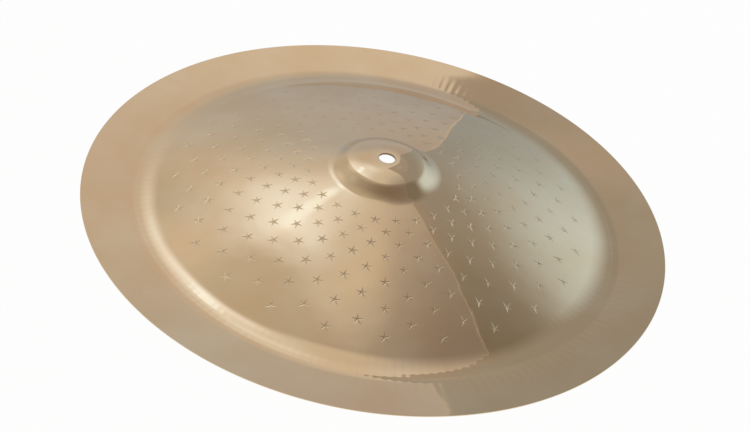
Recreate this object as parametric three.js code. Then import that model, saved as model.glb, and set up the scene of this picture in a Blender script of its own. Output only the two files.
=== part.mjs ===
// China cymbal, millimetres, +Z up, the Z axis through the hole.
// The origin is on the axis, level with the underside of the valley that the cymbal rests on.
import * as THREE from 'three';

// Driving dimensions: how far out each stretch of the metal reaches, from the hole to the rim
const rimRadius = 228.6;
const holeRadius = 6.35;
const landWidth = 2;
const domeWidth = 20.2;
const shoulderWidth = 3.4;
const bellWallWidth = 3.9;
const footWidth = 9.6;
const outerBowWidth = 61;
const foldFallWidth = 15.1;
const restWidth = 2.2;
const foldRiseWidth = 6.1;
const flangeWidth = 34.2;

// Metal thickness, thickest at the bell and thinnest at the rim
const bellThickness = 1.4;
const bowThickness = 1.1;
const foldThickness = 1;
const rimThickness = 0.8;

// The sharp corners of the hole and the rim are broken by this much
const edgeBreak = 0.2;

// Slopes between stretches, in degrees, positive where the metal climbs outwards
const levelSlope = 0;
const domeSlope = -16.8;
const bellWallSlope = -33.3;
const bowTopSlope = -10.7;
const bowMiddleSlope = -14.2;
const bowFootSlope = -15.8;
const flangeSlope = 9;
const rimSlope = 11.1;

// Facets: around the axis, and along each kind of stretch
const facetsAround = 80;
const straightSteps = 1;
const bendSteps = 4;
const bowSteps = 3;
const flangeSteps = 2;

// The inner half of the bow takes the width that the other stretches leave
const bellRadius = holeRadius + landWidth + domeWidth + shoulderWidth + bellWallWidth + footWidth;
const turnedUpWidth = foldFallWidth + restWidth + foldRiseWidth + flangeWidth;
const innerBowWidth = rimRadius - bellRadius - outerBowWidth - turnedUpWidth;

const tangent = (degrees) => Math.tan(THREE.MathUtils.degToRad(degrees));

// Each stretch runs outwards by its width and ends at a slope and a thickness.
// Slope and thickness change evenly across it, so neighbouring stretches meet smoothly.
const stretches = [
  { width: landWidth, slope: levelSlope, thickness: bellThickness, steps: straightSteps },
  { width: domeWidth, slope: domeSlope, thickness: bellThickness, steps: bendSteps },
  { width: shoulderWidth, slope: bellWallSlope, thickness: bellThickness, steps: bendSteps },
  { width: bellWallWidth, slope: bellWallSlope, thickness: bellThickness, steps: straightSteps },
  { width: footWidth, slope: bowTopSlope, thickness: bowThickness, steps: bendSteps },
  { width: innerBowWidth, slope: bowMiddleSlope, thickness: bowThickness, steps: bowSteps },
  { width: outerBowWidth, slope: bowFootSlope, thickness: bowThickness, steps: bowSteps },
  { width: foldFallWidth, slope: levelSlope, thickness: foldThickness, steps: bendSteps },
  { width: restWidth, slope: levelSlope, thickness: foldThickness, steps: straightSteps },
  { width: foldRiseWidth, slope: flangeSlope, thickness: foldThickness, steps: bendSteps },
  { width: flangeWidth, slope: rimSlope, thickness: rimThickness, steps: flangeSteps },
];

// Walk outwards from the hole's edge and collect the upper face's points
function upperFace() {
  let radius = holeRadius;
  let height = 0;
  let slope = tangent(levelSlope);
  let thickness = bellThickness;
  const points = [{ radius, height, slope, thickness }];
  for (const stretch of stretches) {
    const stepWidth = stretch.width / stretch.steps;
    const slopeStep = (tangent(stretch.slope) - slope) / stretch.steps;
    const thicknessStep = (stretch.thickness - thickness) / stretch.steps;
    for (let step = 0; step < stretch.steps; step += 1) {
      height += stepWidth * (slope + slopeStep / 2);
      radius += stepWidth;
      slope += slopeStep;
      thickness += thicknessStep;
      points.push({ radius, height, slope, thickness });
    }
  }
  return points;
}

// The lower face lies under the upper one by the thickness, measured square to the metal
const drop = (point) => point.thickness * Math.hypot(1, point.slope);

// A corner gives way to two points, one on the upright edge and one on the face beside it
function breakCorner(corner, alongEdge, alongFace) {
  const toEdge = alongEdge.clone().sub(corner).setLength(edgeBreak);
  const toFace = alongFace.clone().sub(corner).setLength(edgeBreak);
  return { onEdge: corner.clone().add(toEdge), onFace: corner.clone().add(toFace) };
}

// The closed section: out along the lower face, round the rim, back along the upper face, down the hole
function section() {
  const upper = upperFace();
  const lowest = Math.min(...upper.map((point) => point.height - drop(point)));
  const above = upper.map((point) => new THREE.Vector2(point.radius, point.height - lowest));
  const below = upper.map((point) => new THREE.Vector2(point.radius, point.height - drop(point) - lowest));
  const last = upper.length - 1;
  const holeTop = breakCorner(above[0], below[0], above[1]);
  const holeBottom = breakCorner(below[0], above[0], below[1]);
  const rimTop = breakCorner(above[last], below[last], above[last - 1]);
  const rimBottom = breakCorner(below[last], above[last], below[last - 1]);
  return [
    holeBottom.onEdge,
    holeBottom.onFace,
    ...below.slice(1, last),
    rimBottom.onFace,
    rimBottom.onEdge,
    rimTop.onEdge,
    rimTop.onFace,
    ...above.slice(1, last).reverse(),
    holeTop.onFace,
    holeTop.onEdge,
    holeBottom.onEdge.clone(),
  ];
}

// Buffed bell bronze
const bronze = new THREE.MeshStandardMaterial({ color: '#c9ae88', metalness: 1, roughness: 0.2 });

// Lathe geometry turns round its own Y axis, so it is stood up along Z
function buildCymbal() {
  const geometry = new THREE.LatheGeometry(section(), facetsAround);
  geometry.rotateX(Math.PI / 2);
  const cymbal = new THREE.Mesh(geometry, bronze);
  cymbal.name = 'cymbal';
  return cymbal;
}

const chinaCymbal = new THREE.Group();
chinaCymbal.add(buildCymbal());

export default chinaCymbal;
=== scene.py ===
# China cymbal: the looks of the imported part, in metres, in the frame of its CAD model
from math import cos, hypot, pi, radians, sin, tan

import bpy
from bpy.props import FloatProperty, FloatVectorProperty, IntProperty, PointerProperty
from mathutils import Matrix, Vector


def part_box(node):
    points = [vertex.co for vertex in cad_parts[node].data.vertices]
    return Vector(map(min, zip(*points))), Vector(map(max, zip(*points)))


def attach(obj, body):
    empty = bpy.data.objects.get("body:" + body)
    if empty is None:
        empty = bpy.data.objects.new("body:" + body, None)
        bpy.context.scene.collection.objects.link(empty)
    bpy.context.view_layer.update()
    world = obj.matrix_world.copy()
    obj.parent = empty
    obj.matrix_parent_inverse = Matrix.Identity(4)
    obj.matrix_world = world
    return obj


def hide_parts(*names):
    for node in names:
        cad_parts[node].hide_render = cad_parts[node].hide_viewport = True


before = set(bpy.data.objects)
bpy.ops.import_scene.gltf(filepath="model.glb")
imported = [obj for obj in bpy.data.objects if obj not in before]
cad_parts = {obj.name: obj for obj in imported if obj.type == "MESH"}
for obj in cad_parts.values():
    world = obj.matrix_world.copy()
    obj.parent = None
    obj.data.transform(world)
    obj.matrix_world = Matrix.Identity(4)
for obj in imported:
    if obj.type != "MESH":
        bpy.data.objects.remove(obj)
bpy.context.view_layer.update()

bl_info = {
    "name": "China cymbal",
    "version": (1, 0, 0),
    "blender": (4, 5, 0),
    "location": "3D View > Sidebar > Cymbal",
    "description": "Makes a china cymbal of polished bell bronze with star-shaped marks, and its studio",
    "category": "Add Mesh",
}

MM = 0.001
LOWEST, HIGHEST = (Vector(corner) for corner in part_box("cymbal"))

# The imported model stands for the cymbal's outer size
RIM_RADIUS = (HIGHEST.x - LOWEST.x) / 2
OVERALL_HEIGHT = HIGHEST.z - LOWEST.z
HEIGHT_TOLERANCE = 0.05 * MM

# The photograph's width and the focal length that fits its perspective, both in pixels
PHOTO_WIDTH = 750
PHOTO_FOCAL = 1198


def linear(hex_colour):
    """Turns an sRGB colour such as #c9ae88 into the linear red, green and blue that nodes take."""
    channels = (int(hex_colour[i:i + 2], 16) / 255 for i in (1, 3, 5))
    return tuple(c / 12.92 if c <= 0.04045 else ((c + 0.055) / 1.055) ** 2.4 for c in channels)


def length(name, description, millimetres):
    return FloatProperty(name=name, description=description, default=millimetres * MM, min=0,
                         unit="LENGTH", precision=5)


def angle(name, description, degrees):
    return FloatProperty(name=name, description=description, default=radians(degrees), subtype="ANGLE")


def count(name, description, number):
    return IntProperty(name=name, description=description, default=number, min=1)


def share(name, description, part):
    return FloatProperty(name=name, description=description, default=part, min=0, max=1, subtype="FACTOR")


def colour(name, description, hex_colour):
    return FloatVectorProperty(name=name, description=description, default=linear(hex_colour), size=3,
                               min=0, max=1, subtype="COLOR")


class CymbalSizes(bpy.types.PropertyGroup):
    """How far out each stretch of the metal reaches, the slope that it ends at, and how thick it is."""
    rim_radius: length("Rim radius", "From the axis to the rim, as packed", RIM_RADIUS / MM)
    hole_radius: length("Hole radius", "From the axis to the hole's edge", 6.35)
    land_width: length("Land width", "Level ring round the hole", 2)
    dome_width: length("Dome width", "Crown of the bell", 20.2)
    shoulder_width: length("Shoulder width", "Bend from the crown into the bell's wall", 3.4)
    bell_wall_width: length("Bell wall width", "Straight wall of the bell", 3.9)
    foot_width: length("Foot width", "Bend from the bell's wall into the bow", 9.6)
    outer_bow_width: length("Outer bow width", "Outer half of the bow", 61)
    fold_fall_width: length("Fold fall width", "Bend from the bow down into the valley", 15.1)
    rest_width: length("Rest width", "Level bottom of the valley", 2.2)
    fold_rise_width: length("Fold rise width", "Bend from the valley up into the flange", 6.1)
    flange_width: length("Flange width", "Nearly straight flange out to the rim", 34.2)
    bell_thickness: length("Bell thickness", "Metal at the bell", 1.4)
    bow_thickness: length("Bow thickness", "Metal along the bow", 1.1)
    fold_thickness: length("Fold thickness", "Metal in the valley", 1)
    rim_thickness: length("Rim thickness", "Metal at the rim", 0.8)
    edge_round: length("Edge round", "Radius that the hole's and the rim's corners are dressed to", 0.2)
    dome_slope: angle("Dome slope", "Slope at the outside of the crown", -16.8)
    bell_wall_slope: angle("Bell wall slope", "Slope of the bell's wall", -33.3)
    bow_top_slope: angle("Bow top slope", "Slope where the bow leaves the bell", -10.7)
    bow_middle_slope: angle("Bow middle slope", "Slope between the bow's two halves", -14.2)
    bow_foot_slope: angle("Bow foot slope", "Slope where the bow meets the valley", -15.8)
    flange_slope: angle("Flange slope", "Slope where the flange leaves the valley", 9)
    rim_slope: angle("Rim slope", "Slope at the rim", 11.1)
    around: count("Facets around", "Facets round the axis", 288)


class HammerMarks(bpy.types.PropertyGroup):
    """The star-shaped marks that a punch leaves in rings round the bow."""
    rings: count("Rings", "Rings of marks", 10)
    per_ring: count("Marks per ring", "Marks in each ring; every second ring is turned by half a step", 24)
    first_ring: length("First ring", "Radius of the innermost ring", 59.7)
    ring_step: length("Ring step", "From one ring to the next", 10.92)
    turn: angle("Turn", "Angle of the first mark", 0.6)
    arms: count("Arms", "Arms of each star; one points at the bell", 5)
    tip_radius: length("Tip radius", "From the star's middle to the tip of an arm", 5.6)
    notch_radius: length("Notch radius", "From the star's middle to the notch between two arms", 1.3)
    depth: length("Depth", "Depth at the star's middle", 0.23)
    wander: length("Wander", "How far a mark may sit from its place", 0.25)
    twist: angle("Twist", "How far a star may be turned from its ring", 5)
    light_blow: share("Light blow", "Depth of the lightest mark beside the deepest", 0.65)
    seed: count("Seed", "Which scatter of the marks is made", 3)


class BronzeFinish(bpy.types.PropertyGroup):
    """Colours and surface of polished, clear-lacquered bell bronze."""
    pale: colour("Pale bronze", "Most of the metal", "#e8d6b9")
    warm: colour("Warm bronze", "Redder clouds in the metal", "#e4cdac")
    struck: colour("Struck bronze", "Duller metal inside the hammer marks", "#e0ceb0")
    roughness: share("Roughness", "Of the polished metal", 0.04)
    struck_roughness: share("Struck roughness", "Inside the hammer marks", 0.15)
    buffing_step: length("Buffing step", "Between neighbouring buffing lines", 1.1)
    buffing_height: length("Buffing height", "Height of the buffing lines", 0.0002)
    cloud_size: length("Cloud size", "Size of the clouds in the colour", 55)
    dent_size: length("Dent size", "Size of the soft unevenness that hammering leaves", 26)
    dent_height: length("Dent height", "Height of that unevenness", 0.2)
    dent_reach: length("Dent reach", "Radius where the hammering begins to fade", 158)
    dent_fade: length("Dent fade", "Width over which the hammering fades", 24)
    edge_dent: share("Edge dent share", "Unevenness left beyond the hammering, beside that within it", 0.12)
    ripples: count("Ripples", "Pressing ripples round the valley", 184)
    ripple_height: length("Ripple height", "Height of the pressing ripples", 0.011)
    ripple_inner: length("Ripple inner radius", "Where the ripples begin", 160)
    ripple_outer: length("Ripple outer radius", "Where the ripples end", 218)
    ripple_drift: angle("Ripple drift", "How far the hammering turns the ripples' wave out of step", 200)
    darkening: colour("Darkening", "Darker metal in the cut edge of the hole", "#7d654a")
    darkening_reach: length("Tarnish reach", "Radius where the tarnish ends", 6.9)


class StudioLook(bpy.types.PropertyGroup):
    """Floor, soft tent and camera."""
    tent_radius: length("Tent radius", "Radius of the round light tent", 2200)
    skirt_inner: length("Skirt inner radius", "Where the tent's skirt on the floor begins", 260)
    skirt_height: length("Skirt height", "How high the skirt lies over the floor", 1)
    floor_width: length("Floor width", "Side of the square floor", 60000)
    floor: colour("Floor", "Floor and background", "#ffffff")
    floor_glow: share("Floor glow", "Share of the floor's colour that shadows can't darken", 0.97)
    camera_place: FloatVectorProperty(name="Camera place", description="Where the camera stands", size=3,
                                      default=(-0.46 * MM, -756.67 * MM, 568.5 * MM),
                                      subtype="TRANSLATION")
    camera_tilt: angle("Camera tilt", "From straight down towards the horizon", 52.5)
    camera_roll: angle("Camera roll", "Turn about the camera's own axis", 11.28)


def add_node(tree, kind, inputs=None, **settings):
    """Adds a node with its settings, and links or sets the inputs given by name or number."""
    node = tree.nodes.new(kind)
    for name, value in settings.items():
        setattr(node, name, value)
    for key, value in (inputs or {}).items():
        if isinstance(value, bpy.types.NodeSocket):
            tree.links.new(value, node.inputs[key])
        else:
            node.inputs[key].default_value = value
    return node


def upper_face(sizes):
    """Walks out from the hole along the upper face; each stretch changes slope and thickness evenly."""
    bell_radius = (sizes.hole_radius + sizes.land_width + sizes.dome_width + sizes.shoulder_width
                   + sizes.bell_wall_width + sizes.foot_width)
    turned_up_width = (sizes.fold_fall_width + sizes.rest_width + sizes.fold_rise_width
                       + sizes.flange_width)
    inner_bow_width = sizes.rim_radius - bell_radius - sizes.outer_bow_width - turned_up_width

    # Of each stretch: its width, the slope and the thickness at its outer end, and the facets along it
    stretches = (
        (sizes.land_width, 0, sizes.bell_thickness, 2),
        (sizes.dome_width, sizes.dome_slope, sizes.bell_thickness, 10),
        (sizes.shoulder_width, sizes.bell_wall_slope, sizes.bell_thickness, 5),
        (sizes.bell_wall_width, sizes.bell_wall_slope, sizes.bell_thickness, 2),
        (sizes.foot_width, sizes.bow_top_slope, sizes.bow_thickness, 8),
        (inner_bow_width, sizes.bow_middle_slope, sizes.bow_thickness, 12),
        (sizes.outer_bow_width, sizes.bow_foot_slope, sizes.bow_thickness, 12),
        (sizes.fold_fall_width, 0, sizes.fold_thickness, 9),
        (sizes.rest_width, 0, sizes.fold_thickness, 1),
        (sizes.fold_rise_width, sizes.flange_slope, sizes.fold_thickness, 6),
        (sizes.flange_width, sizes.rim_slope, sizes.rim_thickness, 8),
    )
    radius, height, slope, thickness = sizes.hole_radius, 0, 0, sizes.bell_thickness
    points = [(radius, height, slope, thickness)]
    for width, end_slope, end_thickness, steps in stretches:
        slope_step = (tan(end_slope) - slope) / steps
        thickness_step = (end_thickness - thickness) / steps
        for _ in range(steps):
            height += width / steps * (slope + slope_step / 2)
            radius += width / steps
            slope += slope_step
            thickness += thickness_step
            points.append((radius, height, slope, thickness))
    return points


def rounded(corner, before, after, radius, steps=4):
    """Rounds one corner of the section; gives points and the way that the metal's face looks at each."""
    inward = (corner - before).normalized()
    outward = (after - corner).normalized()
    face_before = Vector((inward.y, -inward.x))
    face_after = Vector((outward.y, -outward.x))
    turn = face_before.angle(face_after)
    middle = corner - inward * radius * tan(turn / 2) - face_before * radius
    arc = []
    for step in range(steps + 1):
        face = face_before.slerp(face_after, step / steps)
        arc.append((middle + face * radius, face))
    return arc


def section(sizes):
    """The closed section, metal on its left: out below, round the rim, back above and down the hole."""
    upper = upper_face(sizes)
    undersides = [height - thickness * hypot(1, slope) for _, height, slope, thickness in upper]
    lowest = min(undersides)
    above = [Vector((radius, height - lowest)) for radius, height, _, _ in upper]
    below = [Vector((radius, height - lowest)) for (radius, _, _, _), height in zip(upper, undersides)]
    lower_side = []
    for before, here, after in zip(below, below[1:], below[2:]):
        along = (after - before).normalized()
        lower_side.append((here, Vector((along.y, -along.x))))
    upper_side = []
    for here, (_, _, slope, _) in zip(above[1:-1], upper[1:-1]):
        upper_side.append((here, Vector((-slope, 1)).normalized()))
    corner = sizes.edge_round
    return (
        rounded(below[0], above[0], below[1], corner)
        + lower_side
        + rounded(below[-1], below[-2], above[-1], corner)
        + rounded(above[-1], below[-1], above[-2], corner)
        + upper_side[::-1]
        + rounded(above[0], above[1], below[0], corner)
    )


def section_mesh(sizes):
    """The section as a loop of edges that know where they face; it is upside down until it is spun."""
    outline = section(sizes)
    reach = max(place.y for place, _ in outline)
    if abs(reach - OVERALL_HEIGHT) > HEIGHT_TOLERANCE:
        raise ValueError(f"the section is {reach / MM:.2f} mm high, and the packed cymbal "
                         f"{OVERALL_HEIGHT / MM:.2f} mm")
    mesh = bpy.data.meshes.new("cymbal_section")
    points = [(place.x - sizes.hole_radius, -place.y, 0) for place, _ in outline]
    edges = [(i, (i + 1) % len(points)) for i in range(len(points))]
    mesh.from_pydata(points, edges, [])
    for name, axis in (("face_out", 0), ("face_up", 1)):
        attribute = mesh.attributes.new(name, "FLOAT", "POINT")
        attribute.data.foreach_set("value", [face[axis] for _, face in outline])
    return mesh


# Rays come down onto the disc from this high, in metres
RAY_START = 1.0

# The attribute "struck" is 1 on the faces of a mark and 0 elsewhere, and an edge has the mean of its faces
IN_MARK, BESIDE_MARK = 0.5, 0.25


def away_from_axis(tree, place):
    """The way straight out from the axis at a place."""
    flat = add_node(tree, "ShaderNodeVectorMath", {0: place, 1: (1, 1, 0)}, operation="MULTIPLY")
    return add_node(tree, "ShaderNodeVectorMath", {0: flat.outputs[0]}, operation="NORMALIZE").outputs[0]


def spun_disc(tree, given):
    """The section goes once round the hole's edge; each point keeps the way that its metal faces."""
    outline = add_node(tree, "GeometryNodeMeshToCurve", {"Mesh": given["Section"]})
    path = add_node(tree, "GeometryNodeCurvePrimitiveCircle",
                    {"Resolution": given["Facets Around"], "Radius": given["Hole Radius"]}, mode="RADIUS")
    spun = add_node(tree, "GeometryNodeCurveToMesh",
                    {"Curve": path.outputs[0], "Profile Curve": outline.outputs[0]})
    spun = add_node(tree, "GeometryNodeFlipFaces", {"Mesh": spun.outputs[0]})
    place = add_node(tree, "GeometryNodeInputPosition").outputs[0]
    face_out = add_node(tree, "GeometryNodeInputNamedAttribute", {"Name": "face_out"}, data_type="FLOAT")
    face_up = add_node(tree, "GeometryNodeInputNamedAttribute", {"Name": "face_up"}, data_type="FLOAT")
    sideways = add_node(tree, "ShaderNodeVectorMath",
                        {0: away_from_axis(tree, place), "Scale": face_out.outputs[0]}, operation="SCALE")
    upward = add_node(tree, "ShaderNodeCombineXYZ", {"Z": face_up.outputs[0]})
    facing = add_node(tree, "ShaderNodeVectorMath", {0: sideways.outputs[0], 1: upward.outputs[0]},
                      operation="ADD")
    disc = add_node(tree, "GeometryNodeStoreNamedAttribute",
                    {"Geometry": spun.outputs[0], "Name": "facing", "Value": facing.outputs[0]},
                    data_type="FLOAT_VECTOR", domain="POINT")
    disc = add_node(tree, "GeometryNodeStoreNamedAttribute",
                    {"Geometry": disc.outputs[0], "Name": "struck", "Value": 0.0},
                    data_type="FLOAT", domain="FACE")
    return disc.outputs[0]


def mark_places(tree, given):
    """Points for the marks, ring by ring, every second ring turned by half a step, each a little off."""
    number = add_node(tree, "GeometryNodeInputIndex").outputs[0]
    per_ring = given["Marks Per Ring"]
    marks = add_node(tree, "FunctionNodeIntegerMath", {0: given["Rings"], 1: per_ring}, operation="MULTIPLY")
    places = add_node(tree, "GeometryNodePoints", {"Count": marks.outputs[0]})
    ring = add_node(tree, "FunctionNodeIntegerMath", {0: number, 1: per_ring}, operation="DIVIDE_FLOOR")
    step = add_node(tree, "FunctionNodeIntegerMath", {0: number, 1: per_ring}, operation="MODULO")
    odd_ring = add_node(tree, "FunctionNodeIntegerMath", {0: ring.outputs[0], 1: 2}, operation="MODULO")
    half_step = add_node(tree, "ShaderNodeMath", {0: odd_ring.outputs[0], 1: 0.5, 2: step.outputs[0]},
                         operation="MULTIPLY_ADD")
    step_angle = add_node(tree, "ShaderNodeMath", {0: 2 * pi, 1: per_ring}, operation="DIVIDE")
    round_angle = add_node(tree, "ShaderNodeMath",
                           {0: half_step.outputs[0], 1: step_angle.outputs[0], 2: given["Turn"]},
                           operation="MULTIPLY_ADD")
    ring_radius = add_node(tree, "ShaderNodeMath",
                           {0: ring.outputs[0], 1: given["Ring Step"], 2: given["First Ring"]},
                           operation="MULTIPLY_ADD")
    on_ring = add_node(tree, "ShaderNodeCombineXYZ", {"X": ring_radius.outputs[0]})
    ring_place = add_node(tree, "ShaderNodeVectorRotate",
                          {"Vector": on_ring.outputs[0], "Angle": round_angle.outputs[0]},
                          rotation_type="Z_AXIS")
    backwards = add_node(tree, "ShaderNodeMath", {0: given["Wander"], 1: -1}, operation="MULTIPLY")
    least = add_node(tree, "ShaderNodeCombineXYZ", {"X": backwards.outputs[0], "Y": backwards.outputs[0]})
    most = add_node(tree, "ShaderNodeCombineXYZ", {"X": given["Wander"], "Y": given["Wander"]})
    wander = add_node(tree, "FunctionNodeRandomValue",
                      {"Min": least.outputs[0], "Max": most.outputs[0], "Seed": given["Seed"]},
                      data_type="FLOAT_VECTOR")
    mark_place = add_node(tree, "ShaderNodeVectorMath", {0: ring_place.outputs[0], 1: wander.outputs[0]},
                          operation="ADD")
    places = add_node(tree, "GeometryNodeSetPosition",
                      {"Geometry": places.outputs[0], "Position": mark_place.outputs[0]})
    return places.outputs[0]


def star_punch(tree, given):
    """A pyramid on its tip, with a star as its base; it stands half sunk into the metal."""
    corners = add_node(tree, "FunctionNodeIntegerMath", {0: given["Arms"], 1: 2}, operation="MULTIPLY")
    cone = add_node(tree, "GeometryNodeMeshCone",
                    {"Vertices": corners.outputs[0], "Side Segments": 1, "Fill Segments": 1,
                     "Radius Top": 1.0, "Radius Bottom": 0.0, "Depth": 1.0}, fill_type="NGON")

    # Every second corner moves in to a notch, and the tip of one arm points backwards, at the bell
    place = add_node(tree, "GeometryNodeInputPosition").outputs[0]
    behind = add_node(tree, "ShaderNodeVectorMath", {0: place, "Scale": -1.0}, operation="SCALE")
    parts = add_node(tree, "ShaderNodeSeparateXYZ", {0: behind.outputs[0]})
    corner_angle = add_node(tree, "ShaderNodeMath", {0: parts.outputs["Y"], 1: parts.outputs["X"]},
                            operation="ARCTAN2")
    star_angle = add_node(tree, "ShaderNodeMath", {0: corner_angle.outputs[0], 1: given["Arms"]},
                          operation="MULTIPLY")
    tip_or_notch = add_node(tree, "ShaderNodeMath", {0: star_angle.outputs[0]}, operation="COSINE")
    reach = add_node(tree, "ShaderNodeMapRange",
                     {"Value": tip_or_notch.outputs[0], 1: -1.0, 2: 1.0, 3: given["Notch Radius"],
                      4: given["Tip Radius"]})

    # It is made twice as large, because its half above the metal strikes nothing
    full_depth = add_node(tree, "ShaderNodeMath", {0: given["Mark Depth"], 1: 2}, operation="MULTIPLY")
    full_reach = add_node(tree, "ShaderNodeMath", {0: reach.outputs[0], 1: 2}, operation="MULTIPLY")
    size = add_node(tree, "ShaderNodeCombineXYZ",
                    {"X": full_reach.outputs[0], "Y": full_reach.outputs[0], "Z": full_depth.outputs[0]})
    sized_place = add_node(tree, "ShaderNodeVectorMath", {0: place, 1: size.outputs[0]},
                           operation="MULTIPLY")
    sunk = add_node(tree, "ShaderNodeMath", {0: given["Mark Depth"], 1: -1}, operation="MULTIPLY")
    sink = add_node(tree, "ShaderNodeCombineXYZ", {"Z": sunk.outputs[0]})
    punch = add_node(tree, "GeometryNodeSetPosition",
                     {"Geometry": cone.outputs[0], "Position": sized_place.outputs[0],
                      "Offset": sink.outputs[0]})
    return punch.outputs[0]


def seated_punches(tree, given, disc, punch):
    """A punch at each mark's place, upright on the metal there, turned and driven in a little at random."""
    place = add_node(tree, "GeometryNodeInputPosition").outputs[0]
    facing = add_node(tree, "GeometryNodeInputNamedAttribute", {"Name": "facing"},
                      data_type="FLOAT_VECTOR")

    # A ray from above finds where each place lies on the disc and which way the metal looks there
    high_above = add_node(tree, "ShaderNodeVectorMath", {0: place, 1: (0, 0, RAY_START)}, operation="ADD")
    ray = add_node(tree, "GeometryNodeRaycast",
                   {"Target Geometry": disc, "Attribute": facing.outputs[0],
                    "Source Position": high_above.outputs[0], "Ray Direction": (0, 0, -1),
                    "Ray Length": 2 * RAY_START},
                   data_type="FLOAT_VECTOR", mapping="INTERPOLATED")
    places = add_node(tree, "GeometryNodeSetPosition",
                      {"Geometry": mark_places(tree, given), "Position": ray.outputs["Hit Position"]})
    upright = add_node(tree, "FunctionNodeAxesToRotation",
                       {"Primary Axis": ray.outputs["Attribute"],
                        "Secondary Axis": away_from_axis(tree, place)},
                       primary_axis="Z", secondary_axis="X")
    untwist = add_node(tree, "ShaderNodeMath", {0: given["Twist"], 1: -1}, operation="MULTIPLY")
    twist = add_node(tree, "FunctionNodeRandomValue",
                     {2: untwist.outputs[0], 3: given["Twist"], "Seed": given["Seed"]}, data_type="FLOAT")
    twist_turn = add_node(tree, "FunctionNodeAxisAngleToRotation",
                          {"Axis": (0, 0, 1), "Angle": twist.outputs[1]})
    aim = add_node(tree, "FunctionNodeRotateRotation", {0: upright.outputs[0], 1: twist_turn.outputs[0]},
                   rotation_space="LOCAL")
    blow = add_node(tree, "FunctionNodeRandomValue",
                    {2: given["Light Blow"], 3: 1.0, "Seed": given["Seed"]}, data_type="FLOAT")
    press = add_node(tree, "ShaderNodeCombineXYZ", {"X": 1.0, "Y": 1.0, "Z": blow.outputs[1]})
    punches = add_node(tree, "GeometryNodeInstanceOnPoints",
                       {"Points": places.outputs[0], "Instance": punch, "Rotation": aim.outputs[0],
                        "Scale": press.outputs[0]})
    punches = add_node(tree, "GeometryNodeRealizeInstances", {"Geometry": punches.outputs[0]})
    punches = add_node(tree, "GeometryNodeStoreNamedAttribute",
                       {"Geometry": punches.outputs[0], "Name": "struck", "Value": 1.0},
                       data_type="FLOAT", domain="FACE")
    return punches.outputs[0]


def shaded_metal(tree, disc, hammered):
    """Shading follows the true curve of the disc, and in a mark its own faces."""
    facing = add_node(tree, "GeometryNodeInputNamedAttribute", {"Name": "facing"},
                      data_type="FLOAT_VECTOR")
    struck = add_node(tree, "GeometryNodeInputNamedAttribute", {"Name": "struck"}, data_type="FLOAT")
    in_mark = add_node(tree, "FunctionNodeCompare", {0: struck.outputs[0], 1: IN_MARK},
                       data_type="FLOAT", operation="GREATER_THAN")
    disc_facing = add_node(tree, "GeometryNodeSampleNearestSurface",
                           {"Mesh": disc, "Value": facing.outputs[0]}, data_type="FLOAT_VECTOR")
    own_facing = add_node(tree, "GeometryNodeInputNormal")
    shown_facing = add_node(tree, "GeometryNodeSwitch",
                            {"Switch": in_mark.outputs[0], "False": disc_facing.outputs[0],
                             "True": own_facing.outputs["True Normal"]}, input_type="VECTOR")
    smooth = add_node(tree, "GeometryNodeSetShadeSmooth", {"Geometry": hammered}, domain="FACE")

    # The outline of a mark and every edge in it are sharp: a struck face lies beside them
    by_mark = add_node(tree, "FunctionNodeCompare", {0: struck.outputs[0], 1: BESIDE_MARK},
                       data_type="FLOAT", operation="GREATER_THAN")
    outlined = add_node(tree, "GeometryNodeSetShadeSmooth",
                        {"Geometry": smooth.outputs[0], "Selection": by_mark.outputs[0],
                         "Shade Smooth": False}, domain="EDGE")
    shaded = add_node(tree, "GeometryNodeSetMeshNormal", mode="FREE", domain="CORNER")
    tree.links.new(outlined.outputs[0], shaded.inputs["Mesh"])
    tree.links.new(shown_facing.outputs[0], shaded.inputs["Custom Normal"])
    return shaded.outputs[0]


def cymbal_nodes():
    """Geometry Nodes tree that turns the section round the axis and strikes the marks into the disc."""
    tree = bpy.data.node_groups.new("spun_and_hammered_cymbal", "GeometryNodeTree")
    inputs = {
        "NodeSocketGeometry": ("Section",),
        "NodeSocketInt": ("Facets Around", "Rings", "Marks Per Ring", "Arms", "Seed"),
        "NodeSocketFloat": ("Hole Radius", "First Ring", "Ring Step", "Turn", "Tip Radius", "Notch Radius",
                            "Mark Depth", "Wander", "Twist", "Light Blow"),
        "NodeSocketMaterial": ("Bronze",),
    }
    for kind, names in inputs.items():
        for name in names:
            tree.interface.new_socket(name, in_out="INPUT", socket_type=kind)
    tree.interface.new_socket("Cymbal", in_out="OUTPUT", socket_type="NodeSocketGeometry")
    given = add_node(tree, "NodeGroupInput").outputs
    disc = spun_disc(tree, given)
    punches = seated_punches(tree, given, disc, star_punch(tree, given))
    hammered = add_node(tree, "GeometryNodeMeshBoolean", {"Mesh 1": disc, "Mesh 2": punches},
                        operation="DIFFERENCE", solver="MANIFOLD")
    facets = add_node(tree, "GeometryNodeTriangulate", {"Mesh": hammered.outputs[0]})
    shaded = shaded_metal(tree, disc, facets.outputs[0])
    whole = add_node(tree, "GeometryNodeRealizeInstances", {"Geometry": shaded})
    bronze = add_node(tree, "GeometryNodeSetMaterial",
                      {"Geometry": whole.outputs[0], "Material": given["Bronze"]})
    add_node(tree, "NodeGroupOutput", {"Cymbal": bronze.outputs[0]})
    return tree


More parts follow.
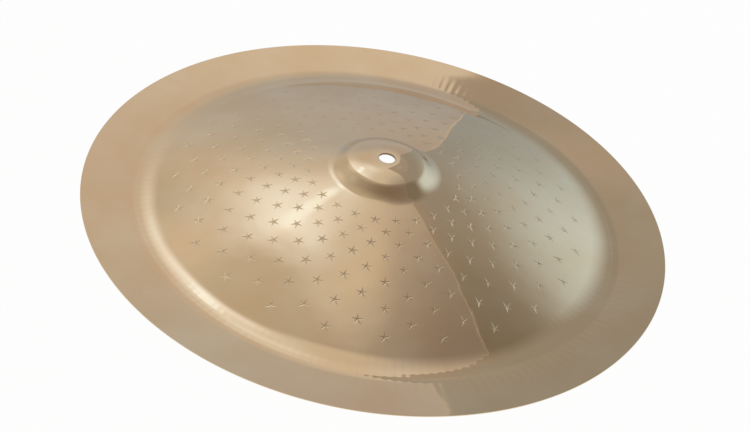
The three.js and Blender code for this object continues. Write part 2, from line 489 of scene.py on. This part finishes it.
def grown(name, base_mesh, tree, values):
    """Runs a Geometry Nodes tree on a base mesh and gives an object that holds the plain result."""
    piece = bpy.data.objects.new(name, base_mesh)
    bpy.context.scene.collection.objects.link(piece)
    modifier = piece.modifiers.new("nodes", "NODES")
    modifier.node_group = tree
    identifiers = {item.name: item.identifier for item in tree.interface.items_tree
                   if item.in_out == "INPUT"}
    for input_name, value in values.items():
        modifier[identifiers[input_name]] = value
    depsgraph = bpy.context.evaluated_depsgraph_get()
    evaluated = piece.evaluated_get(depsgraph)
    mesh = bpy.data.meshes.new_from_object(evaluated, preserve_all_data_layers=True, depsgraph=depsgraph)
    piece.modifiers.remove(modifier)
    piece.data = mesh
    mesh.name = name
    if not mesh.polygons:
        raise ValueError(f"the nodes made no faces for {name}")
    return piece


# The clouds' noise between these values becomes the full change of colour, and of shine
CLOUD_LOW, CLOUD_HIGH = 0.35, 0.65
SHINE_LOW, SHINE_HIGH = 0.3, 0.7

# Duller and shinier clouds differ from the metal's roughness by this share
SHINE_SPREAD = 0.2

# The hole's edge is fully darkened up to this share of the darkening's reach
DARKENING_CORE = 0.93


def bare_material(name):
    """A new material with no nodes, and its tree."""
    material = bpy.data.materials.new(name)
    material.use_nodes = True
    material.node_tree.nodes.clear()
    return material, material.node_tree


def bronze_colour(tree, finish, clouds, radius, struck):
    """The alloy is pale with redder clouds, duller in the marks and dark in the hole's cut edge."""
    cloudy = add_node(tree, "ShaderNodeMapRange", {"Value": clouds, 1: CLOUD_LOW, 2: CLOUD_HIGH})
    metal = add_node(tree, "ShaderNodeMix",
                     {0: cloudy.outputs[0], 6: (*finish.pale, 1), 7: (*finish.warm, 1)}, data_type="RGBA")
    metal = add_node(tree, "ShaderNodeMix", {0: struck, 6: metal.outputs[2], 7: (*finish.struck, 1)},
                     data_type="RGBA")

    # The metal is darker in a thin ring at the cut edge of the hole
    darkened = add_node(tree, "ShaderNodeMapRange",
                         {"Value": radius, 1: finish.darkening_reach, 2: DARKENING_CORE * finish.darkening_reach,
                          3: 0.0, 4: 1.0}, interpolation_type="SMOOTHSTEP")
    metal = add_node(tree, "ShaderNodeMix",
                     {0: darkened.outputs[0], 6: metal.outputs[2], 7: (*finish.darkening, 1)},
                     data_type="RGBA")
    return metal.outputs[2]


def bronze_relief(tree, finish, place, parts, radius):
    """Fine relief of the metal: buffing lines, soft dents of the hammering and ripples of the pressing."""
    # Buffing lines run round the axis; they are drawn wider than real ones so that they show
    line_place = add_node(tree, "ShaderNodeMath", {0: radius, 1: finish.buffing_step}, operation="DIVIDE")
    lines = add_node(tree, "ShaderNodeTexNoise", {"W": line_place.outputs[0], "Scale": 1.0, "Detail": 2.0},
                     noise_dimensions="1D")
    line_height = add_node(tree, "ShaderNodeMath", {0: lines.outputs["Fac"], 1: finish.buffing_height},
                           operation="MULTIPLY")

    # Soft unevenness from hammering fades towards the valley
    dents = add_node(tree, "ShaderNodeTexNoise",
                     {"Vector": place, "Scale": 1 / finish.dent_size, "Detail": 2.5, "Roughness": 0.3})
    faded = add_node(tree, "ShaderNodeMapRange",
                     {"Value": radius, 1: finish.dent_reach, 2: finish.dent_reach + finish.dent_fade,
                      3: finish.dent_height, 4: finish.dent_height * finish.edge_dent},
                     interpolation_type="SMOOTHSTEP")
    off_mean = add_node(tree, "ShaderNodeMath", {0: dents.outputs["Fac"], 1: 0.5}, operation="SUBTRACT")
    dent_height = add_node(tree, "ShaderNodeMath", {0: off_mean.outputs[0], 1: faded.outputs[0]},
                           operation="MULTIPLY")

    # Pressing ripples stand across the valley and fade into the bow and the flange
    ripple_middle = (finish.ripple_inner + finish.ripple_outer) / 2
    ripple_reach = (finish.ripple_outer - finish.ripple_inner) / 2
    from_middle = add_node(tree, "ShaderNodeMath", {0: radius, 1: ripple_middle}, operation="SUBTRACT")
    off_middle = add_node(tree, "ShaderNodeMath", {0: from_middle.outputs[0]}, operation="ABSOLUTE")
    fade = add_node(tree, "ShaderNodeMapRange",
                    {"Value": off_middle.outputs[0], 1: ripple_reach, 2: 0.0, 3: 0.0,
                     4: finish.ripple_height / 2}, interpolation_type="SMOOTHSTEP")
    around = add_node(tree, "ShaderNodeMath", {0: parts["Y"], 1: parts["X"]}, operation="ARCTAN2")
    drift = add_node(tree, "ShaderNodeMath", {0: dents.outputs["Fac"], 1: finish.ripple_drift},
                     operation="MULTIPLY")
    ripple_angle = add_node(tree, "ShaderNodeMath",
                            {0: around.outputs[0], 1: float(finish.ripples), 2: drift.outputs[0]},
                            operation="MULTIPLY_ADD")
    wave = add_node(tree, "ShaderNodeMath", {0: ripple_angle.outputs[0]}, operation="SINE")
    ripple = add_node(tree, "ShaderNodeMath", {0: wave.outputs[0], 1: fade.outputs[0]},
                      operation="MULTIPLY")

    height = add_node(tree, "ShaderNodeMath", {0: line_height.outputs[0], 1: dent_height.outputs[0]},
                      operation="ADD")
    height = add_node(tree, "ShaderNodeMath", {0: height.outputs[0], 1: ripple.outputs[0]},
                      operation="ADD")
    bump = add_node(tree, "ShaderNodeBump",
                    {"Strength": 1.0, "Distance": 1.0, "Height": height.outputs[0]})
    return bump.outputs[0]


def bronze_material(finish):
    """Cast bell bronze, lathed, buffed to a mirror and lacquered: clear, softly wavering reflections."""
    material, tree = bare_material("polished_bell_bronze")
    place = add_node(tree, "ShaderNodeTexCoord").outputs["Object"]
    parts = add_node(tree, "ShaderNodeSeparateXYZ", {0: place}).outputs
    flat = add_node(tree, "ShaderNodeVectorMath", {0: place, 1: (1, 1, 0)}, operation="MULTIPLY")
    radius = add_node(tree, "ShaderNodeVectorMath", {0: flat.outputs[0]}, operation="LENGTH")
    radius = radius.outputs["Value"]
    struck = add_node(tree, "ShaderNodeAttribute", attribute_name="struck").outputs["Fac"]
    clouds = add_node(tree, "ShaderNodeTexNoise",
                      {"Vector": place, "Scale": 1 / finish.cloud_size, "Detail": 3.0, "Roughness": 0.5})
    clouds = clouds.outputs["Fac"]
    shine = add_node(tree, "ShaderNodeMapRange",
                     {"Value": clouds, 1: SHINE_LOW, 2: SHINE_HIGH,
                      3: finish.roughness * (1 - SHINE_SPREAD), 4: finish.roughness * (1 + SHINE_SPREAD)})
    roughness = add_node(tree, "ShaderNodeMix",
                         {0: struck, 2: shine.outputs[0], 3: finish.struck_roughness}, data_type="FLOAT")
    shader = add_node(tree, "ShaderNodeBsdfPrincipled",
                      {"Base Color": bronze_colour(tree, finish, clouds, radius, struck),
                       "Metallic": 1.0, "Roughness": roughness.outputs[0],
                       "Normal": bronze_relief(tree, finish, place, parts, radius)})
    add_node(tree, "ShaderNodeOutputMaterial", {"Surface": shader.outputs[0]})
    return material


# Soft patches of light on the tent, painted one over the other.
# Each has its azimuth from +Y towards +X, its elevation, its core, its soft border and its colour.
TENT_PATCHES = (
    (-51, 51, 8, 19, "#eaedf2"),
    (-119, 45, 45, 8, "#b3a89a"),
    (98, 28, 45, 31, "#837a76"),
    (-9, 21, 0, 28, "#a2a2a3"),
    (-88, 14, 45, 12, "#aea699"),
    (171, 17, 45, 56, "#726555"),
    (-13, 51, 0, 9, "#d8d7d5"),
    (10, 22, 7, 9, "#a39c9a"),
    (-12, 37, 0, 12, "#b7aca2"),
    (-51, 45, 0, 15, "#c5baae"),
    (-7, 70, 0, 12, "#c1b7aa"),
    (140, 18, 20, 28, "#b3aba1"),
    (-140, 18, 20, 28, "#9f968b"),
    (180, 15, 15, 30, "#b9b2a9"),
    (128, 42, 5, 14, "#eaedf2"),
    (-152, 38, 3, 14, "#dcd6cc"),
    (-96, 40, 3, 16, "#e2ddd3"),
    (100, 42, 4, 14, "#cfc9c0"),
    (-31, 54, 0.5, 3, "#eef7ff"),
    (-27, 53, 0.5, 3, "#eef7ff"),
    (-23, 51, 0.5, 3, "#eef7ff"),
)

# Tent colours at the floor, halfway up and overhead
TENT_LOW, TENT_MIDDLE, TENT_HIGH = "#959495", "#c3bab1", "#c5bcb2"

# The card leans over the cymbal from behind on the right.
# These are the azimuth and elevation of the foot of its perpendicular, and how far off that is, in metres.
CARD_AZIMUTH, CARD_LEAN, CARD_DISTANCE = 42.2, 7.1, 1.077

# The card's corners in its own plane, in metres: across from that foot, then up
CARD_CORNERS = (
    (-0.72, -0.135),
    (-0.715, -0.02),
    (-0.69, 0.085),
    (-0.67, 0.2),
    (-0.71, 0.45),
    (-0.78, 0.635),
    (-0.8, 1.1),
    (-0.67, 1.165),
    (-0.47, 1.205),
    (-0.33, 1.25),
    (-0.2, 1.33),
    (0.0, 1.375),
    (0.11, 1.42),
    (0.33, 1.6),
    (1.45, 2.15),
    (1.9, 2.15),
    (1.9, -0.135),
)
CARD_COLOUR = "#8d8a86"

# Soft patches on the card: across, up, half width, half height, soft border as a share, colour
CARD_PATCHES = (
    (0.60, -0.50, 1.42, 1.60, 0.37, "#bfced7"),
    (1.35, 0.10, 1.10, 1.60, 0.60, "#a8a197"),
    (1.64, 1.82, 2.28, 1.69, 0.31, "#746d63"),
    (-1.20, 0.93, 0.80, 0.46, 0.18, "#95908b"),
    (-0.87, -0.24, 1.24, 0.90, 0.92, "#8d9498"),
    (-0.79, 1.41, 1.01, 0.54, 0.96, "#9e8e81"),
    (-0.665, 0.92, 0.11, 0.12, 0.95, "#a0978f"),
)

# The card's cut edge runs along its first corners; it is this wide, in metres, and paler than the face, a
# painted highlight where the edge catches the light
CARD_EDGE_CORNERS = 14
CARD_EDGE_WIDTH = 0.006
CARD_EDGE_HIGHLIGHT = "#b0a79e"

# The cloth and the card glow this strongly where they are painted white
GLOW_STRENGTH = 1.4

# The world's light on what doesn't mirror it, where 1 is white
WORLD_LIGHT = 0.6

# The camera shows nothing nearer than this, in metres
NEAREST_SEEN = 0.01


def glowing(name, paint):
    """A material that only glows, in the colour that paint adds to its nodes."""
    material, tree = bare_material(name)
    glow = add_node(tree, "ShaderNodeEmission", {"Color": paint(tree), "Strength": GLOW_STRENGTH})
    add_node(tree, "ShaderNodeOutputMaterial", {"Surface": glow.outputs[0]})
    return material


def direction(azimuth, elevation):
    """Unit vector for an azimuth from +Y towards +X and an elevation, in degrees."""
    a, e = radians(azimuth), radians(elevation)
    return Vector((sin(a) * cos(e), cos(a) * cos(e), sin(e)))


def tent_paint(tree):
    """White tent cloth, lit unevenly from outside: a wash from floor to top with soft patches over it."""
    place = add_node(tree, "ShaderNodeTexCoord").outputs["Object"]
    way = add_node(tree, "ShaderNodeVectorMath", {0: place}, operation="NORMALIZE").outputs[0]
    parts = add_node(tree, "ShaderNodeSeparateXYZ", {0: way})
    wash = add_node(tree, "ShaderNodeValToRGB", {0: parts.outputs["Z"]})
    stops = wash.color_ramp.elements
    stops.new(0.5)
    for stop, hex_colour in zip(stops, (TENT_LOW, TENT_MIDDLE, TENT_HIGH)):
        stop.color = (*linear(hex_colour), 1)
    paint = wash.outputs[0]
    for azimuth, elevation, core, border, hex_colour in TENT_PATCHES:
        along = add_node(tree, "ShaderNodeVectorMath", {0: way, 1: direction(azimuth, elevation)},
                         operation="DOT_PRODUCT")
        off = add_node(tree, "ShaderNodeMath", {0: along.outputs["Value"]}, operation="ARCCOSINE")
        cover = add_node(tree, "ShaderNodeMapRange",
                         {"Value": off.outputs[0], 1: radians(core + border), 2: radians(core),
                          3: 0.0, 4: 1.0}, interpolation_type="SMOOTHSTEP")
        mixed = add_node(tree, "ShaderNodeMix",
                         {0: cover.outputs[0], 6: paint, 7: (*linear(hex_colour), 1)}, data_type="RGBA")
        paint = mixed.outputs[2]
    return paint


def card_paint(tree):
    """Matt grey card, lit unevenly: one grey with soft patches over it."""
    place = add_node(tree, "ShaderNodeTexCoord").outputs["Object"]
    paint = (*linear(CARD_COLOUR), 1)
    for across, up, half_width, half_height, border, hex_colour in CARD_PATCHES:
        near = add_node(tree, "ShaderNodeVectorMath", {0: place, 1: (across, up, 0)}, operation="SUBTRACT")
        sized = add_node(tree, "ShaderNodeVectorMath",
                         {0: near.outputs[0], 1: (half_width, half_height, 1)}, operation="DIVIDE")
        off = add_node(tree, "ShaderNodeVectorMath", {0: sized.outputs[0]}, operation="LENGTH")
        cover = add_node(tree, "ShaderNodeMapRange",
                         {"Value": off.outputs["Value"], 1: 1.0, 2: 1 - border, 3: 0.0, 4: 1.0},
                         interpolation_type="SMOOTHSTEP")
        mixed = add_node(tree, "ShaderNodeMix",
                         {0: cover.outputs[0], 6: paint, 7: (*linear(hex_colour), 1)}, data_type="RGBA")
        paint = mixed.outputs[2]
    return paint


def card_edge_highlight_paint(tree):
    """Painted highlight along the card's cut edge: one pale grey that glows."""
    return (*linear(CARD_EDGE_HIGHLIGHT), 1)


def seen_directly(tree):
    """One for rays that show a background, in the camera, metal or glass, and nought for lighting."""
    rays = add_node(tree, "ShaderNodeLightPath").outputs
    either = add_node(tree, "ShaderNodeMath", {0: rays["Is Camera Ray"], 1: rays["Is Glossy Ray"]},
                      operation="MAXIMUM")
    seen = add_node(tree, "ShaderNodeMath", {0: either.outputs[0], 1: rays["Is Transmission Ray"]},
                    operation="MAXIMUM")
    return seen.outputs[0]


def floor_material(look):
    """White sweep paper: matt, and bright enough to be the background, with a light shadow."""
    material, tree = bare_material("white_sweep_paper")
    paper = add_node(tree, "ShaderNodeBsdfDiffuse", {"Color": (*look.floor, 1)})
    glow = add_node(tree, "ShaderNodeEmission", {"Color": (*look.floor, 1), "Strength": 1.0})
    amount = add_node(tree, "ShaderNodeMath", {0: seen_directly(tree), 1: look.floor_glow},
                      operation="MULTIPLY")
    mix = add_node(tree, "ShaderNodeMixShader",
                   {0: amount.outputs[0], 1: paper.outputs[0], 2: glow.outputs[0]})
    add_node(tree, "ShaderNodeOutputMaterial", {"Surface": mix.outputs[0]})
    return material


def backdrop(name, mesh, material, in_picture=False):
    """Adds a piece of the studio; it stands in the metal's reflections, and in the picture if told."""
    piece = bpy.data.objects.new(name, mesh)
    bpy.context.scene.collection.objects.link(piece)
    mesh.materials.append(material)
    piece.visible_camera = in_picture
    return piece


def flat_mesh(name, corners, faces=None):
    """Faces in one plane, or a single face through all the corners."""
    mesh = bpy.data.meshes.new(name)
    mesh.from_pydata([(across, up, 0) for across, up in corners], [], faces or [range(len(corners))])
    return mesh


def ring_mesh(name, rings, around=64):
    """Faces between rings, each given as its radius and height."""
    mesh = bpy.data.meshes.new(name)
    points = [(*(direction(360 * step / around, 0) * radius).xy, height)
              for radius, height in rings for step in range(around)]
    faces = []
    for start in range(0, len(points) - around, around):
        for step in range(around):
            after = (step + 1) % around
            faces.append((start + step, start + after, start + around + after, start + around + step))
    mesh.from_pydata(points, [], faces)
    return mesh


def make_floor(look):
    """The square floor, which is also the background."""
    half = look.floor_width / 2
    corners = [(-half, -half), (half, -half), (half, half), (-half, half)]
    backdrop("floor", flat_mesh("floor", corners), floor_material(look), in_picture=True)


def make_tent(look, steps=24):
    """The round tent from the floor to its top, and a skirt of its cloth that lies on the floor."""
    cloth = glowing("tent_cloth", tent_paint)
    turns = [pi / 2 * step / steps for step in range(steps + 1)]
    tent_rings = [(look.tent_radius * cos(turn), look.tent_radius * sin(turn)) for turn in turns]
    backdrop("light_tent", ring_mesh("light_tent", tent_rings), cloth)
    skirt_rings = [(look.tent_radius, look.skirt_height), (look.skirt_inner, look.skirt_height)]
    skirt = backdrop("tent_skirt", ring_mesh("tent_skirt", skirt_rings), cloth)

    # The skirt must not glow onto the floor or shade it
    skirt.visible_diffuse = False
    skirt.visible_shadow = False


def make_card():
    """The grey card, and its cut edge as a strip beside the face that carries a painted highlight."""
    card = backdrop("grey_card", flat_mesh("grey_card", CARD_CORNERS), glowing("card_board", card_paint))
    free_side = CARD_CORNERS[:CARD_EDGE_CORNERS]
    strip = [(across - reach, up + reach) for across, up in free_side for reach in (CARD_EDGE_WIDTH, 0)]
    strip_faces = [(i, i + 1, i + 3, i + 2) for i in range(0, len(strip) - 2, 2)]
    card_edge = backdrop("card_edge", flat_mesh("card_edge", strip, strip_faces),
                         glowing("card_edge_highlight", card_edge_highlight_paint))
    away = direction(CARD_AZIMUTH, CARD_LEAN)
    across = Vector((away.y, -away.x, 0)).normalized()
    up = across.cross(away)
    turn = Matrix((across, up, -away)).transposed()
    for piece in (card, card_edge):
        piece.matrix_world = Matrix.Translation(away * CARD_DISTANCE) @ turn.to_4x4()


def surroundings(look):
    """A world that is white where it is seen, and lights matt surfaces plainly."""
    world = bpy.data.worlds.new("white_surroundings")
    world.use_nodes = True
    tree = world.node_tree
    tree.nodes.clear()
    lighting = add_node(tree, "ShaderNodeMix",
                        {0: seen_directly(tree), 6: (WORLD_LIGHT, WORLD_LIGHT, WORLD_LIGHT, 1),
                         7: (*look.floor, 1)}, data_type="RGBA")
    background = add_node(tree, "ShaderNodeBackground", {"Color": lighting.outputs[2], "Strength": 1.0})
    add_node(tree, "ShaderNodeOutputWorld", {"Surface": background.outputs[0]})
    return world


def photo_camera(look):
    """A camera that stands where the photograph was taken from."""
    camera = bpy.data.objects.new("camera", bpy.data.cameras.new("camera"))
    bpy.context.scene.collection.objects.link(camera)
    camera.data.sensor_fit = "HORIZONTAL"
    camera.data.lens = camera.data.sensor_width * PHOTO_FOCAL / PHOTO_WIDTH
    camera.data.clip_start = NEAREST_SEEN
    aim = Matrix.Rotation(look.camera_tilt, 4, "X") @ Matrix.Rotation(look.camera_roll, 4, "Z")
    camera.matrix_world = Matrix.Translation(Vector(look.camera_place)) @ aim
    return camera


class CYMBAL_OT_bronze(bpy.types.Operator):
    """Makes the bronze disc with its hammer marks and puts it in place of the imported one"""
    bl_idname = "china_cymbal.make_bronze"
    bl_label = "Make bronze cymbal"

    def execute(self, context):
        sizes, marks = context.scene.cymbal_sizes, context.scene.cymbal_marks
        values = {
            "Facets Around": sizes.around,
            "Hole Radius": sizes.hole_radius,
            "Rings": marks.rings,
            "Marks Per Ring": marks.per_ring,
            "First Ring": marks.first_ring,
            "Ring Step": marks.ring_step,
            "Turn": marks.turn,
            "Arms": marks.arms,
            "Tip Radius": marks.tip_radius,
            "Notch Radius": marks.notch_radius,
            "Mark Depth": marks.depth,
            "Wander": marks.wander,
            "Twist": marks.twist,
            "Light Blow": marks.light_blow,
            "Seed": marks.seed,
            "Bronze": bronze_material(context.scene.cymbal_finish),
        }
        piece = grown("bronze_cymbal", section_mesh(sizes), cymbal_nodes(), values)
        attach(piece, "root")
        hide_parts("cymbal")
        return {"FINISHED"}


class CYMBAL_OT_studio(bpy.types.Operator):
    """Makes the floor, the light tent, the card, the world and the camera"""
    bl_idname = "china_cymbal.make_studio"
    bl_label = "Make studio"

    def execute(self, context):
        scene = context.scene
        look = scene.cymbal_studio
        make_floor(look)
        make_tent(look)
        make_card()
        scene.world = surroundings(look)
        scene.camera = photo_camera(look)
        scene.view_settings.view_transform = "Standard"
        return {"FINISHED"}


class CYMBAL_PT_panel(bpy.types.Panel):
    """Lists the steps that make the cymbal and its studio"""
    bl_idname = "CYMBAL_PT_panel"
    bl_label = "China cymbal"
    bl_space_type = "VIEW_3D"
    bl_region_type = "UI"
    bl_category = "Cymbal"

    def draw(self, context):
        groups = (
            (CYMBAL_OT_bronze, ("cymbal_sizes", "cymbal_marks", "cymbal_finish")),
            (CYMBAL_OT_studio, ("cymbal_studio",)),
        )
        for operator, holders in groups:
            box = self.layout.box()
            box.operator(operator.bl_idname)
            for holder in holders:
                settings = getattr(context.scene, holder)
                for name in settings.bl_rna.properties.keys():
                    if name not in ("rna_type", "name"):
                        box.prop(settings, name)


SETTINGS = {
    "cymbal_sizes": CymbalSizes,
    "cymbal_marks": HammerMarks,
    "cymbal_finish": BronzeFinish,
    "cymbal_studio": StudioLook,
}
CLASSES = (*SETTINGS.values(), CYMBAL_OT_bronze, CYMBAL_OT_studio, CYMBAL_PT_panel)


def register():
    for item in CLASSES:
        bpy.utils.register_class(item)
    for name, group in SETTINGS.items():
        setattr(bpy.types.Scene, name, PointerProperty(type=group))


def unregister():
    for name in SETTINGS:
        delattr(bpy.types.Scene, name)
    for item in reversed(CLASSES):
        bpy.utils.unregister_class(item)


def main():
    register()
    bpy.ops.china_cymbal.make_bronze()
    bpy.ops.china_cymbal.make_studio()


if __name__ == "__main__":
    main()
